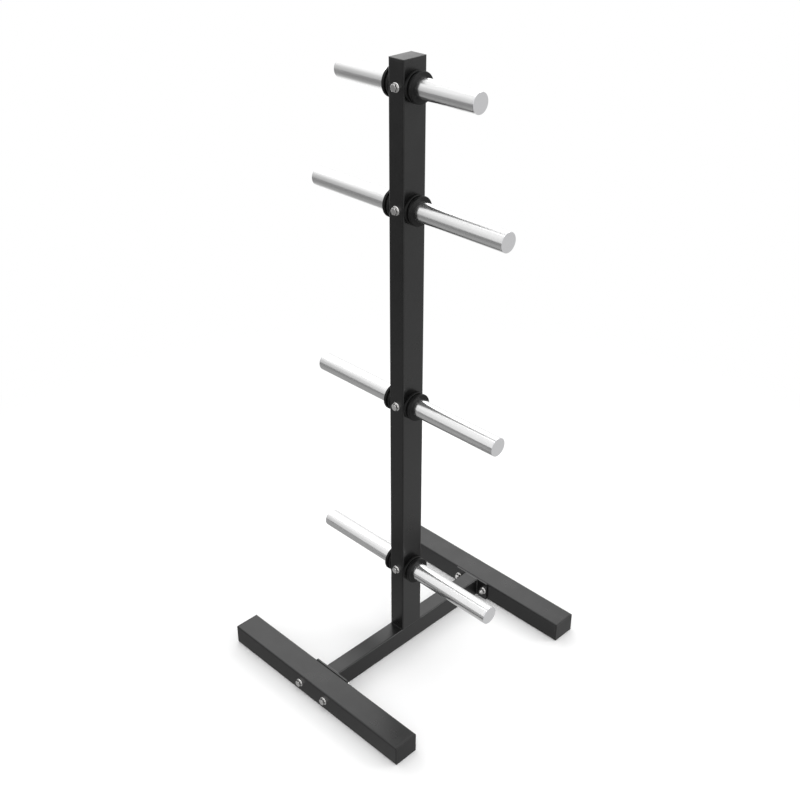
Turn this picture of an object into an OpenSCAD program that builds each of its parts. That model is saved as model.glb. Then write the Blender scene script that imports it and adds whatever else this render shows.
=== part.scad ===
// Free-standing plate tree for weight plates. All sizes are in millimetres.
// +X runs along the pegs and the feet, +Y along the crossbar, and +Z up.
// The origin is on the floor, under the centre of the upright.

/* [Levels] */
// Height of the bottom pegs' axis above the floor
bottom_peg_z = 163.4; // [120:0.1:260]
// Spacing of the bottom, lower and upper pegs
plate_pitch = 324; // [260:1:480]
// Spacing of the upper and the top pegs
top_pitch = 175; // [120:1:300]
// Height of the upright's top above the top pegs' axis
head_room = 38.6; // [36:0.1:80]

/* [Upright] */
// Width of the upright along the pegs
upright_w = 30; // [26:1:50]
// Depth of the upright across the pegs
upright_d = 45; // [42:1:70]
// Wall of the upright
upright_wall = 2; // [1.2:0.1:3]
// Outside corner radius of the upright
upright_corner_r = 2.5; // [1.5:0.1:4]

/* [Crossbar] */
// Length of the crossbar between its end plates
crossbar_l = 350; // [240:1:600]
// Width of the crossbar along the feet
crossbar_w = 30; // [26:1:40]
// Height of the crossbar
crossbar_h = 36; // [30:1:50]
// Wall of the crossbar
crossbar_wall = 2; // [1.2:0.1:3]
// Outside corner radius of the crossbar
crossbar_corner_r = 2.5; // [1.5:0.1:4]

/* [End plates] */
// Width of the end plates along the feet
end_plate_w = 76; // [74:1:120]
// Height of the end plates
end_plate_h = 36; // [28:1:50]
// Thickness of the end plates
end_plate_t = 3; // [2:0.5:8]
// Corner radius of the end plates
end_plate_corner_r = 2; // [0.5:0.1:5]

/* [Feet] */
// Length of each foot over its caps
foot_l = 400; // [280:1:700]
// Width of the feet
foot_w = 45; // [34:1:70]
// Height of the feet
foot_h = 36; // [30:1:50]
// Wall of the feet
foot_wall = 2; // [1.2:0.1:3]
// Outside corner radius of the feet
foot_corner_r = 2.7; // [1.5:0.1:4]

/* [Pegs] */
// Outside diameter of the peg tubes
peg_d = 30; // [24:1:34]
// Wall of the peg tubes
peg_wall = 2; // [1.4:0.1:4]
// Free length of the top pegs beyond their collars
top_peg_free_l = 103.7; // [60:0.1:220]
// Free length of the other pegs beyond their collars
plate_peg_free_l = 161.6; // [80:0.1:320]
// Radial clearance of the pegs in the upright's holes
peg_hole_clearance = 0.2; // [0.05:0.05:0.5]
// Depth of the turned seat that each collar snaps into
collar_seat_depth = 0.4; // [0.2:0.05:0.8]

/* [Collars] */
// Outside diameter of the spool collars
collar_d = 45; // [40:1:70]
// Length of the spool collars
collar_l = 14; // [12:1:30]
// Thickness of each flange of a spool collar
collar_flange_t = 5; // [3:0.1:5.5]
// Diameter of a spool collar between its flanges
collar_waist_d = 38; // [36:0.5:39.5]
// Edge radius of the flanges
collar_edge_r = 1.2; // [0.5:0.1:1.4]
// Radial clearance of a collar on its seat
collar_clearance = 0.1; // [0.05:0.05:0.3]

/* [Peg end plugs] */
// Thickness of the disc that closes a peg
plug_disc_t = 2; // [1.2:0.1:5]
// Bevel round the disc
plug_bevel = 0.5; // [0.2:0.1:1]
// Length of the skirt inside the peg
plug_skirt_l = 12; // [6:1:25]
// Wall of the skirt
plug_skirt_wall = 1.6; // [1:0.1:3]
// Radial clearance of the skirt in the peg
plug_clearance = 0.15; // [0.05:0.05:0.4]

/* [Tube caps] */
// Thickness of the lip that closes the upright
upright_cap_lip_t = 2.5; // [2:0.1:4]
// Thickness of the lip that closes each end of a foot
foot_cap_lip_t = 3; // [2:0.1:6]
// Bevel round the lips
cap_bevel = 0.8; // [0.3:0.1:1]
// Depth of a cap's body inside its tube
cap_body_l = 14; // [12:1:15]
// Wall of a cap's body
cap_body_wall = 1.8; // [1.2:0.1:3]
// Number of gripping fins round a cap's body
cap_fins = 3; // [1:1:4]
// Thickness of each fin
cap_fin_t = 1; // [0.6:0.1:1.5]
// How far the fins stand out from the body
cap_fin_out = 0.9; // [0.4:0.1:1.5]
// Clearance between the fins and the tube's wall
cap_clearance = 0.15; // [0.05:0.05:0.4]

/* [Fasteners] */
// Thread diameter of the bolts
bolt_d = 6; // [5:1:10]
// Clearance between a bolt and its holes, on the diameter
bolt_hole_clearance = 0.4; // [0.2:0.1:1]
// Width of the heads and nuts across their flats
hex_flats = 10; // [10:0.5:15]
// Height of the bolt heads
head_t = 4.2; // [3.5:0.1:7]
// Height of the lock nuts
nut_t = 6; // [5:0.5:10]
// Height of the plain round crown on a lock nut
nut_crown_t = 1.4; // [1:0.1:3]
// Radial clearance of a nut on its bolt
nut_clearance = 0.05; // [0.02:0.01:0.1]
// Outside diameter of the washers
washer_d = 14; // [12:0.5:20]
// Thickness of the washers
washer_t = 1.4; // [1:0.1:3]
// Length of the peg bolts beyond their nuts
peg_bolt_tail = 1.5; // [1:0.1:12]
// Length of the foot bolts beyond their nuts
foot_bolt_tail = 1.2; // [1:0.1:12]
// Spacing of the two bolts through each foot
foot_bolt_spacing = 60; // [58:1:80]
// Height of the foot bolts above the floor
foot_bolt_z = 18.5; // [14:0.5:22]

/* [Hidden] */
// Facets of the displayed circles
$fn = 72;
// Smallest inside corner radius of a rolled tube
tube_inner_r_min = 0.5;
// How far a cutting solid runs past what it cuts
cut_over = 1;
// Slope of the chamfer on hex heads and nuts, in degrees
hex_chamfer_angle = 30;
// Diameter of the flat that the chamfer leaves, as a share of the width across flats
hex_flat_share = 0.94;
// Diameter of a lock nut's crown, as a share of the width across flats
nut_crown_share = 0.84;

// Sides and ends of the tree, seen from the front, along +Y
LEFT = -1;
RIGHT = 1;
FRONT = -1;
REAR = 1;

// Heights of the peg axes and of the whole tree
lower_peg_z = bottom_peg_z + plate_pitch;
upper_peg_z = lower_peg_z + plate_pitch;
top_peg_z = upper_peg_z + top_pitch;
overall_h = top_peg_z + head_room;

// A level is its height above the floor and the free length of its pegs
TOP = [top_peg_z, top_peg_free_l];
UPPER = [upper_peg_z, plate_peg_free_l];
LOWER = [lower_peg_z, plate_peg_free_l];
BOTTOM = [bottom_peg_z, plate_peg_free_l];
LEVELS = [TOP, UPPER, LOWER, BOTTOM];

// Sections of the three tubes: width, height, wall and outside corner radius
UPRIGHT_SECTION = [upright_w, upright_d, upright_wall, upright_corner_r];
CROSSBAR_SECTION = [crossbar_w, crossbar_h, crossbar_wall, crossbar_corner_r];
FOOT_SECTION = [foot_w, foot_h, foot_wall, foot_corner_r];

// Places that several pieces share
upright_tube_top = overall_h - upright_cap_lip_t;
collar_end_x = upright_w / 2 + collar_l;
foot_inner_y = crossbar_l / 2 + end_plate_t;
foot_outer_y = foot_inner_y + foot_w;
foot_tube_l = foot_l - 2 * foot_cap_lip_t;
foot_bolt_places = [-foot_bolt_spacing / 2, foot_bolt_spacing / 2];

// What the bolts hold together
peg_bolt_grip = upright_d;
foot_bolt_grip = foot_w + end_plate_t;
bolt_hole_d = bolt_d + bolt_hole_clearance;

// Half the length of a level's peg tube, without its plugs
function peg_half_l(level) = collar_end_x + level[1] - plug_disc_t;

// Inside corner radius of a rolled tube
function tube_inner_r(section) = max(section[3] - section[2], tube_inner_r_min);

// Outline with both upper corners cut off, which a bevelled lip is cut to
function bevel_outline(w, t, bevel) = [
    [-w / 2 - bevel, 0],
    [w / 2 + bevel, 0],
    [w / 2 + bevel, t - 2 * bevel],
    [w / 2 - bevel, t],
    [-w / 2 + bevel, t],
    [-w / 2 - bevel, t - 2 * bevel]
];

// Rectangle with round corners, centred
module rounded_rect(w, h, r) {
    square([w - 2 * r, h], center = true);
    square([w, h - 2 * r], center = true);
    for (side_x = [-1, 1], side_y = [-1, 1])
        translate([side_x * (w / 2 - r), side_y * (h / 2 - r)])
            circle(r = r);
}

// Inside outline of a rolled tube, drawn in by a gap
module tube_bore_outline(section, gap = 0) {
    inset = 2 * (section[2] + gap);
    rounded_rect(section[0] - inset, section[1] - inset, tube_inner_r(section));
}

// Rolled rectangular tube along Z, centred
module rolled_tube(section, l) {
    linear_extrude(l, center = true)
        difference() {
            rounded_rect(section[0], section[1], section[3]);
            tube_bore_outline(section);
        }
}

// Turns what runs along Z to run along X, with its own X along Y
module along_x() {
    rotate([90, 0, 90])
        children();
}

// Turns what runs along Z to run along Y, with its own Y along Z
module along_y() {
    rotate([90, 0, 0])
        children();
}

// Places a child on an outer face of the tree, with +Z running inwards from it
module from_face(side, x, face_y, z) {
    translate([x, side * face_y, z])
        rotate([side * 90, 0, 0])
            children();
}

// Flat lip with its outer edges bevelled, from Z = 0 up
module bevelled_lip(section, t) {
    intersection() {
        linear_extrude(t)
            rounded_rect(section[0], section[1], section[3]);
        along_y()
            linear_extrude(section[1] + 2 * cut_over, center = true)
                polygon(bevel_outline(section[0], t, cap_bevel));
        along_x()
            linear_extrude(section[0] + 2 * cut_over, center = true)
                polygon(bevel_outline(section[1], t, cap_bevel));
    }
}

// Moulded cap with its lip above Z = 0 and its finned hollow body below
module tube_cap(section, lip_t) {
    fin_pitch = cap_body_l / (cap_fins + 1);
    body_gap = cap_clearance + cap_fin_out;
    difference() {
        union() {
            bevelled_lip(section, lip_t);
            translate([0, 0, -cap_body_l])
                linear_extrude(cap_body_l)
                    tube_bore_outline(section, body_gap);
            for (fin = [1 : cap_fins])
                translate([0, 0, -fin * fin_pitch])
                    linear_extrude(cap_fin_t, center = true)
                        tube_bore_outline(section, cap_clearance);
        }
        translate([0, 0, -cap_body_l - cut_over])
            linear_extrude(cap_body_l + cut_over)
                tube_bore_outline(section, body_gap + cap_body_wall);
    }
}

// Hexagonal prism from Z = 0 up, with its far corners chamfered
module chamfered_hex(t) {
    corner_r = hex_flats / sqrt(3) + cut_over;
    flat_r = hex_flats * hex_flat_share / 2;
    drop = (corner_r - flat_r) * tan(hex_chamfer_angle);
    intersection() {
        cylinder(h = t, d = hex_flats / cos(30), $fn = 6);
        rotate_extrude()
            polygon([[0, -cut_over], [corner_r, -cut_over], [corner_r, t - drop], [flat_r, t], [0, t]]);
    }
}

// Hex bolt through a face at Z = 0, with its head outside and its shank inwards
module hex_bolt(grip, tail) {
    shank_l = grip + washer_t + nut_t + tail;
    translate([0, 0, -washer_t])
        mirror([0, 0, 1])
            chamfered_hex(head_t);
    translate([0, 0, -washer_t])
        cylinder(h = shank_l + washer_t, d = bolt_d);
}

// Washers on both faces of what a bolt holds
module washer_pair(grip) {
    for (z = [-washer_t, grip])
        translate([0, 0, z])
            difference() {
                cylinder(h = washer_t, d = washer_d);
                translate([0, 0, -cut_over])
                    cylinder(h = washer_t + 2 * cut_over, d = bolt_hole_d);
            }
}

// Lock nut behind the inner washer
module lock_nut(grip) {
    hex_t = nut_t - nut_crown_t;
    translate([0, 0, grip + washer_t])
        difference() {
            union() {
                chamfered_hex(hex_t);
                cylinder(h = nut_t, d = hex_flats * nut_crown_share);
            }
            translate([0, 0, -cut_over])
                cylinder(h = nut_t + 2 * cut_over, r = bolt_d / 2 + nut_clearance);
        }
}

// Places a child on each of one foot's two bolt axes
module at_foot_bolts(side) {
    for (x = foot_bolt_places)
        from_face(side, x, foot_outer_y, foot_bolt_z)
            children();
}

// Upright tube with the holes that the pegs and their bolts pass through
module upright_tube() {
    tube_l = upright_tube_top - crossbar_h;
    color([0.10, 0.10, 0.11])
        difference() {
            translate([0, 0, crossbar_h + tube_l / 2])
                rolled_tube(UPRIGHT_SECTION, tube_l);
            for (level = LEVELS)
                translate([0, 0, level[0]]) {
                    along_x()
                        cylinder(h = upright_w + 2 * cut_over, r = peg_d / 2 + peg_hole_clearance, center = true);
                    along_y()
                        cylinder(h = upright_d + 2 * cut_over, d = bolt_hole_d, center = true);
                }
        }
}

// Moulded cap in the top of the upright
module upright_cap() {
    color([0.16, 0.16, 0.17])
        translate([0, 0, upright_tube_top])
            tube_cap(UPRIGHT_SECTION, upright_cap_lip_t);
}

// Tube that joins the two feet and carries the upright
module crossbar_tube() {
    color([0.10, 0.10, 0.11])
        translate([0, 0, crossbar_h / 2])
            along_y()
                rolled_tube(CROSSBAR_SECTION, crossbar_l);
}

// Plate welded on one end of the crossbar and bolted to a foot
module end_plate(side) {
    color([0.09, 0.09, 0.10])
        difference() {
            translate([0, side * (crossbar_l + end_plate_t) / 2, end_plate_h / 2])
                along_y()
                    linear_extrude(end_plate_t, center = true)
                        rounded_rect(end_plate_w, end_plate_h, end_plate_corner_r);
            at_foot_bolts(side)
                cylinder(h = foot_bolt_grip + cut_over, d = bolt_hole_d);
        }
}

// Tube of one foot, drilled for its two bolts
module foot_tube(side) {
    color([0.10, 0.10, 0.11])
        difference() {
            translate([0, side * (foot_inner_y + foot_outer_y) / 2, foot_h / 2])
                along_x()
                    rolled_tube(FOOT_SECTION, foot_tube_l);
            at_foot_bolts(side)
                translate([0, 0, -cut_over])
                    cylinder(h = foot_bolt_grip + cut_over, d = bolt_hole_d);
        }
}

// Moulded cap in one end of a foot
module foot_cap(side, end) {
    color([0.16, 0.16, 0.17])
        translate([end * foot_tube_l / 2, side * (foot_inner_y + foot_outer_y) / 2, foot_h / 2])
            rotate([0, 0, end < 0 ? 180 : 0])
                along_x()
                    tube_cap(FOOT_SECTION, foot_cap_lip_t);
}

// Chrome tube of one level, with the seats of its collars and its cross hole
module peg(level) {
    half_l = peg_half_l(level);
    seat_r = peg_d / 2 - collar_seat_depth;
    color([0.80, 0.81, 0.83])
        translate([0, 0, level[0]])
            difference() {
                along_x()
                    cylinder(h = 2 * half_l, d = peg_d, center = true);
                along_x()
                    cylinder(h = 2 * (half_l + cut_over), r = peg_d / 2 - peg_wall, center = true);
                for (side = [LEFT, RIGHT])
                    translate([side * (collar_end_x - collar_l / 2), 0, 0])
                        along_x()
                            difference() {
                                cylinder(h = collar_l, r = peg_d / 2 + cut_over, center = true);
                                cylinder(h = collar_l + cut_over, r = seat_r, center = true);
                            }
                along_y()
                    cylinder(h = peg_d + 2 * cut_over, d = bolt_hole_d, center = true);
            }
}

// Plug that closes one end of a peg, with a hollow skirt inside the tube
module peg_plug(level, side) {
    rim_r = peg_d / 2;
    skirt_r = rim_r - peg_wall - plug_clearance;
    skirt_bore_r = skirt_r - plug_skirt_wall;
    color([0.72, 0.72, 0.74])
        translate([side * peg_half_l(level), 0, level[0]])
            rotate([0, side * 90, 0])
                rotate_extrude()
                    polygon([
                        [0, 0],
                        [skirt_bore_r, 0],
                        [skirt_bore_r, -plug_skirt_l],
                        [skirt_r, -plug_skirt_l],
                        [skirt_r, 0],
                        [rim_r, 0],
                        [rim_r, plug_disc_t - plug_bevel],
                        [rim_r - plug_bevel, plug_disc_t],
                        [0, plug_disc_t]
                    ]);
}

// Flange of a spool collar as a flat outline, from its bore out to its round rim
module collar_flange_outline(bore_r) {
    rim_r = collar_d / 2;
    land_r = rim_r - collar_edge_r;
    translate([bore_r, 0])
        square([land_r - bore_r, collar_flange_t]);
    translate([bore_r, collar_edge_r])
        square([rim_r - bore_r, collar_flange_t - 2 * collar_edge_r]);
    for (y = [collar_edge_r, collar_flange_t - collar_edge_r])
        translate([land_r, y])
            circle(r = collar_edge_r);
}

// Spool collar against one side of the upright: two round flanges and a waist
module collar(level, side) {
    bore_r = peg_d / 2 - collar_seat_depth + collar_clearance;
    color([0.06, 0.06, 0.06])
        translate([side * upright_w / 2, 0, level[0]])
            rotate([0, side * 90, 0])
                rotate_extrude() {
                    for (y = [0, collar_l - collar_flange_t])
                        translate([0, y])
                            collar_flange_outline(bore_r);
                    translate([bore_r, 0])
                        square([collar_waist_d / 2 - bore_r, collar_l]);
                }
}

// Bolt through the upright and a level's peg, with its head in front
module peg_bolt(level) {
    color([0.70, 0.71, 0.73])
        from_face(FRONT, 0, upright_d / 2, level[0])
            hex_bolt(peg_bolt_grip, peg_bolt_tail);
}

// Lock nut of a level's bolt, behind the upright
module peg_nut(level) {
    color([0.70, 0.71, 0.73])
        from_face(FRONT, 0, upright_d / 2, level[0])
            lock_nut(peg_bolt_grip);
}

// Washers of a level's bolt, in front of and behind the upright
module peg_washers(level) {
    color([0.70, 0.71, 0.73])
        from_face(FRONT, 0, upright_d / 2, level[0])
            washer_pair(peg_bolt_grip);
}

// Two bolts of one foot, with their heads on its outer side
module foot_bolts(side) {
    color([0.70, 0.71, 0.73])
        at_foot_bolts(side)
            hex_bolt(foot_bolt_grip, foot_bolt_tail);
}

// Lock nuts of one foot's bolts, on the inner side of the end plate
module foot_nuts(side) {
    color([0.70, 0.71, 0.73])
        at_foot_bolts(side)
            lock_nut(foot_bolt_grip);
}

// Washers of one foot's bolts, on the foot and on the end plate
module foot_washers(side) {
    color([0.70, 0.71, 0.73])
        at_foot_bolts(side)
            washer_pair(foot_bolt_grip);
}

upright_tube();
upright_cap();
crossbar_tube();
end_plate(FRONT);  // front_end_plate
end_plate(REAR);  // rear_end_plate
foot_tube(FRONT);  // front_foot_tube
foot_tube(REAR);  // rear_foot_tube
foot_cap(FRONT, LEFT);  // front_foot_left_cap
foot_cap(FRONT, RIGHT);  // front_foot_right_cap
foot_cap(REAR, LEFT);  // rear_foot_left_cap
foot_cap(REAR, RIGHT);  // rear_foot_right_cap
peg(TOP);  // top_peg
peg(UPPER);  // upper_peg
peg(LOWER);  // lower_peg
peg(BOTTOM);  // bottom_peg
peg_plug(TOP, LEFT);  // top_left_plug
peg_plug(TOP, RIGHT);  // top_right_plug
peg_plug(UPPER, LEFT);  // upper_left_plug
peg_plug(UPPER, RIGHT);  // upper_right_plug
peg_plug(LOWER, LEFT);  // lower_left_plug
peg_plug(LOWER, RIGHT);  // lower_right_plug
peg_plug(BOTTOM, LEFT);  // bottom_left_plug
peg_plug(BOTTOM, RIGHT);  // bottom_right_plug
collar(TOP, LEFT);  // top_left_collar
collar(TOP, RIGHT);  // top_right_collar
collar(UPPER, LEFT);  // upper_left_collar
collar(UPPER, RIGHT);  // upper_right_collar
collar(LOWER, LEFT);  // lower_left_collar
collar(LOWER, RIGHT);  // lower_right_collar
collar(BOTTOM, LEFT);  // bottom_left_collar
collar(BOTTOM, RIGHT);  // bottom_right_collar
peg_bolt(TOP);  // top_peg_bolt
peg_bolt(UPPER);  // upper_peg_bolt
peg_bolt(LOWER);  // lower_peg_bolt
peg_bolt(BOTTOM);  // bottom_peg_bolt
peg_nut(TOP);  // top_peg_nut
peg_nut(UPPER);  // upper_peg_nut
peg_nut(LOWER);  // lower_peg_nut
peg_nut(BOTTOM);  // bottom_peg_nut
peg_washers(TOP);  // top_peg_washers
peg_washers(UPPER);  // upper_peg_washers
peg_washers(LOWER);  // lower_peg_washers
peg_washers(BOTTOM);  // bottom_peg_washers
foot_bolts(FRONT);  // front_foot_bolts
foot_bolts(REAR);  // rear_foot_bolts
foot_nuts(FRONT);  // front_foot_nuts
foot_nuts(REAR);  // rear_foot_nuts
foot_washers(FRONT);  // front_foot_washers
foot_washers(REAR);  // rear_foot_washers
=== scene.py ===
"""Dresses the plate tree: tubes, pegs, collars, caps, fasteners and welds, with their finishes and a studio."""

import logging
import math
from dataclasses import dataclass, field
from enum import Enum
from typing import Callable, ClassVar, Optional, Sequence

import bmesh
import bpy
from mathutils import Matrix, Vector, noise


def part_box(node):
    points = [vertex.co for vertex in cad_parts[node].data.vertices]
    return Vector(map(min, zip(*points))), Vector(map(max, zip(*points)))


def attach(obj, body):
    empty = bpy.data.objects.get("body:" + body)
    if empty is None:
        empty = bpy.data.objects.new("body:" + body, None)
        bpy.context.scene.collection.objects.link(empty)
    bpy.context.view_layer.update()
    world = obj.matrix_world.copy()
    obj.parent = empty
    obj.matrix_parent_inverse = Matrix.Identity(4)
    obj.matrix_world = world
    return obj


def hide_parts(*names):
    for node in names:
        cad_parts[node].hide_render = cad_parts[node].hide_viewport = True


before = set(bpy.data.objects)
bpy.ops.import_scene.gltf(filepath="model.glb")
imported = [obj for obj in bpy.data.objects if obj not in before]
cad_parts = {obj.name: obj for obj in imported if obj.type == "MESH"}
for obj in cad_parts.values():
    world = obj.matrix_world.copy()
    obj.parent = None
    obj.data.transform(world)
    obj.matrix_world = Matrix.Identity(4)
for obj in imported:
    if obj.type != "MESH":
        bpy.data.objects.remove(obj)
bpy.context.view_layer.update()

LOG = logging.getLogger("plate_tree")
MM = 0.001
BODY = "root"

Point = tuple[float, float]
Corner = tuple[float, float, float]
Material = bpy.types.Material
Node = bpy.types.Node
Tree = bpy.types.NodeTree
Socket = bpy.types.NodeSocket
Thing = bpy.types.Object


def turn_to(direction: Sequence[float]) -> Matrix:
    """Returns the turn that brings Z to a direction."""
    return Vector((0, 0, 1)).rotation_difference(Vector(direction)).to_matrix().to_4x4()


class Axis(Enum):
    """Directions that a turned piece's own Z can point to."""

    LEFT = (-1, 0, 0)
    RIGHT = (1, 0, 0)
    FRONT = (0, -1, 0)
    REAR = (0, 1, 0)


@dataclass(frozen=True)
class Room:
    """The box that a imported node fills, in metres."""

    low: Vector
    high: Vector

    @classmethod
    def of(cls, node: str) -> "Room":
        """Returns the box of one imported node, by its name."""
        low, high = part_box(node)
        return cls(Vector(low), Vector(high))

    @property
    def centre(self) -> Vector:
        """The middle of the box."""
        return (self.low + self.high) / 2

    @property
    def half(self) -> Vector:
        """Half the box's size each way."""
        return (self.high - self.low) / 2


class Bench:
    """Modelling steps that the pieces share, each done with Blender's own operators."""

    MERGE = 1e-7
    CUT_MERGE = 0.002 * MM
    SHARP_ANGLE = 35.0

    @staticmethod
    def clear() -> None:
        """Leaves edit mode and selects nothing."""
        if bpy.context.mode != "OBJECT":
            bpy.ops.object.mode_set(mode="OBJECT")
        bpy.ops.object.select_all(action="DESELECT")

    @classmethod
    def hold(cls, piece: Thing) -> None:
        """Selects one piece alone and makes it active.

        Args:
            piece: the piece.
        """
        cls.clear()
        piece.select_set(True)
        bpy.context.view_layer.objects.active = piece

    @classmethod
    def pick(cls, piece: Thing, kind: str, test: Callable[..., bool]) -> None:
        """Selects the parts of a mesh in edit mode that pass a test.

        Args:
            piece: the piece, which is put in edit mode.
            kind: VERT, EDGE or FACE.
            test: takes a vertex, an edge or a face and says whether it is selected.
        """
        if piece.mode != "EDIT":
            cls.hold(piece)
            bpy.ops.object.mode_set(mode="EDIT")
        bpy.ops.mesh.select_mode(type=kind)
        bpy.ops.mesh.select_all(action="DESELECT")
        mesh = bmesh.from_edit_mesh(piece.data)
        group = {"VERT": mesh.verts, "EDGE": mesh.edges, "FACE": mesh.faces}[kind]
        for part in [part for part in group if test(part)]:
            part.select_set(True)
        mesh.select_flush_mode()
        bmesh.update_edit_mesh(piece.data)

    @classmethod
    def place(cls, piece: Thing, matrix: Matrix) -> None:
        """Moves a piece and applies the move, so that its object stays at the origin.

        Args:
            piece: the piece.
            matrix: the move.
        """
        piece.matrix_world = matrix @ piece.matrix_world
        cls.hold(piece)
        bpy.ops.object.transform_apply(location=True, rotation=True, scale=True)

    @classmethod
    def cut(cls, piece: Thing, operation: str, tool: Thing) -> None:
        """Cuts a piece with a tool, deletes the tool and merges the points that the cut doubles.

        Args:
            piece: the piece to cut.
            operation: DIFFERENCE takes the tool away from the piece, INTERSECT keeps what lies inside the tool.
            tool: the shape that cuts.
        """
        modifier = piece.modifiers.new("Cut", "BOOLEAN")
        modifier.operation = operation
        modifier.object = tool
        modifier.solver = "EXACT"
        cls.hold(piece)
        bpy.ops.object.modifier_apply(modifier=modifier.name)
        cls.drop(tool)
        cls.close(piece, cls.CUT_MERGE)

    @classmethod
    def close(cls, piece: Thing, merge: float = MERGE) -> None:
        """Merges doubled points and turns all faces outwards.

        Args:
            piece: the piece.
            merge: how near two points are that become one.
        """
        cls.pick(piece, "VERT", lambda vert: True)
        bpy.ops.mesh.remove_doubles(threshold=merge)
        bpy.ops.mesh.select_all(action="SELECT")
        bpy.ops.mesh.normals_make_consistent(inside=False)
        bpy.ops.object.mode_set(mode="OBJECT")

    @classmethod
    def copy(cls, piece: Thing, name: str) -> Thing:
        """Copies a piece with a mesh of its own.

        Args:
            piece: the piece to copy.
            name: the copy's name.

        Returns:
            The copy.
        """
        cls.hold(piece)
        bpy.ops.object.duplicate(linked=False)
        twin = bpy.context.object
        twin.name = name
        twin.data.name = name
        return twin

    @classmethod
    def drop(cls, *pieces: Thing) -> None:
        """Deletes tools and masters that aren't part of the object."""
        for piece in pieces:
            bpy.data.objects.remove(piece, do_unlink=True)

    @classmethod
    def join(cls, first: Thing, *others: Thing) -> Thing:
        """Joins pieces into one.

        Args:
            first: the piece that the others join.
            others: the other pieces, if any.

        Returns:
            The first piece, which now holds them all.
        """
        cls.hold(first)
        for other in others:
            other.select_set(True)
        bpy.ops.object.join()
        return first

    @classmethod
    def smooth(cls, piece: Thing, degrees: float = SHARP_ANGLE) -> None:
        """Shades a piece smooth, apart from edges sharper than an angle."""
        cls.hold(piece)
        bpy.ops.object.shade_smooth_by_angle(angle=math.radians(degrees))

    @classmethod
    def hand_over(cls, piece: Thing, name: str, finish: "Finish", *nodes: str) -> Thing:
        """Names a finished piece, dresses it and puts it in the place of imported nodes.

        Args:
            piece: the finished piece.
            name: its name.
            finish: the finish that covers it.
            nodes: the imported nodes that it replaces, if any.

        Returns:
            The piece.
        """
        piece.name = name
        piece.data.name = name
        piece.data.materials.clear()
        piece.data.materials.append(finish.material())
        for polygon in piece.data.polygons:
            polygon.material_index = 0
        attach(piece, BODY)
        if nodes:
            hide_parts(*nodes)
        LOG.info("%s: %d faces, %s", name, len(piece.data.polygons), finish.name)
        return piece


BESIDE_SHARE = 0.25


def fillet(before: Corner, corner: Corner, after: Corner, steps: int = 5) -> list[Point]:
    """Rounds one corner of an outline, with a point just before and after the arc that keeps flat faces flat.

    Args:
        before: the corner before it, as radius, height and rounding.
        corner: the corner to round.
        after: the corner after it.
        steps: how many segments the arc has.

    Returns:
        The points of the arc and beside it, or the corner itself where its rounding is zero.
    """
    here = Vector(corner[:2])
    if corner[2] <= 0:
        return [(here.x, here.y)]
    back = (Vector(before[:2]) - here).normalized()
    ahead = (Vector(after[:2]) - here).normalized()
    half_angle = math.acos(max(-1.0, min(1.0, back.dot(ahead)))) / 2
    reach = corner[2] / math.tan(half_angle)
    middle = here + (back + ahead).normalized() * (corner[2] / math.sin(half_angle))
    start = here + back * reach - middle
    sweep = math.pi - 2 * half_angle
    turn = -math.copysign(1.0, back.x * ahead.y - back.y * ahead.x)
    arms = [Matrix.Rotation(turn * sweep * step / steps, 2) @ start for step in range(steps + 1)]
    beside = reach + corner[2] * BESIDE_SHARE
    points = [here + back * beside, *(middle + arm for arm in arms), here + ahead * beside]
    return [(point.x, point.y) for point in points]


def outline(corners: Sequence[Corner], closed: bool = True) -> list[Point]:
    """Turns corners with roundings into the points of an outline.

    Args:
        corners: each corner's radius, height and rounding, in metres.
        closed: whether the last corner joins the first.

    Returns:
        The outline's points in order.
    """
    points: list[Point] = []
    last = len(corners) - 1
    for index, corner in enumerate(corners):
        if not closed and index in (0, last):
            points.append((corner[0], corner[1]))
            continue
        points += fillet(corners[index - 1], corner, corners[(index + 1) % len(corners)])
    return points


def lathe(name: str, corners: Sequence[Corner], steps: int = 96, closed: bool = True) -> Thing:
    """Spins an outline round Z into a turned piece.

    Args:
        name: the piece's name.
        corners: each corner's radius, height and rounding, in metres.
        steps: how many segments the turn has.
        closed: whether the outline is a ring clear of the axis, or open with both ends on it.

    Returns:
        The turned piece, closed and facing outwards.
    """
    points = outline(corners, closed)
    Bench.clear()
    bpy.ops.mesh.primitive_circle_add(vertices=len(points), radius=1.0, fill_type="NOTHING")
    piece = bpy.context.object
    piece.name = name
    for vert, (radius, height) in zip(piece.data.vertices, points):
        vert.co = (radius, 0.0, height)
    if not closed:
        ends = {0, len(points) - 1}
        Bench.pick(piece, "EDGE", lambda edge: {vert.index for vert in edge.verts} == ends)
        bpy.ops.mesh.delete(type="EDGE")
    Bench.pick(piece, "VERT", lambda vert: True)
    bpy.ops.mesh.spin(steps=steps, angle=2 * math.pi, center=(0, 0, 0), axis=(0, 0, 1))
    Bench.close(piece)
    return piece


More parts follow.
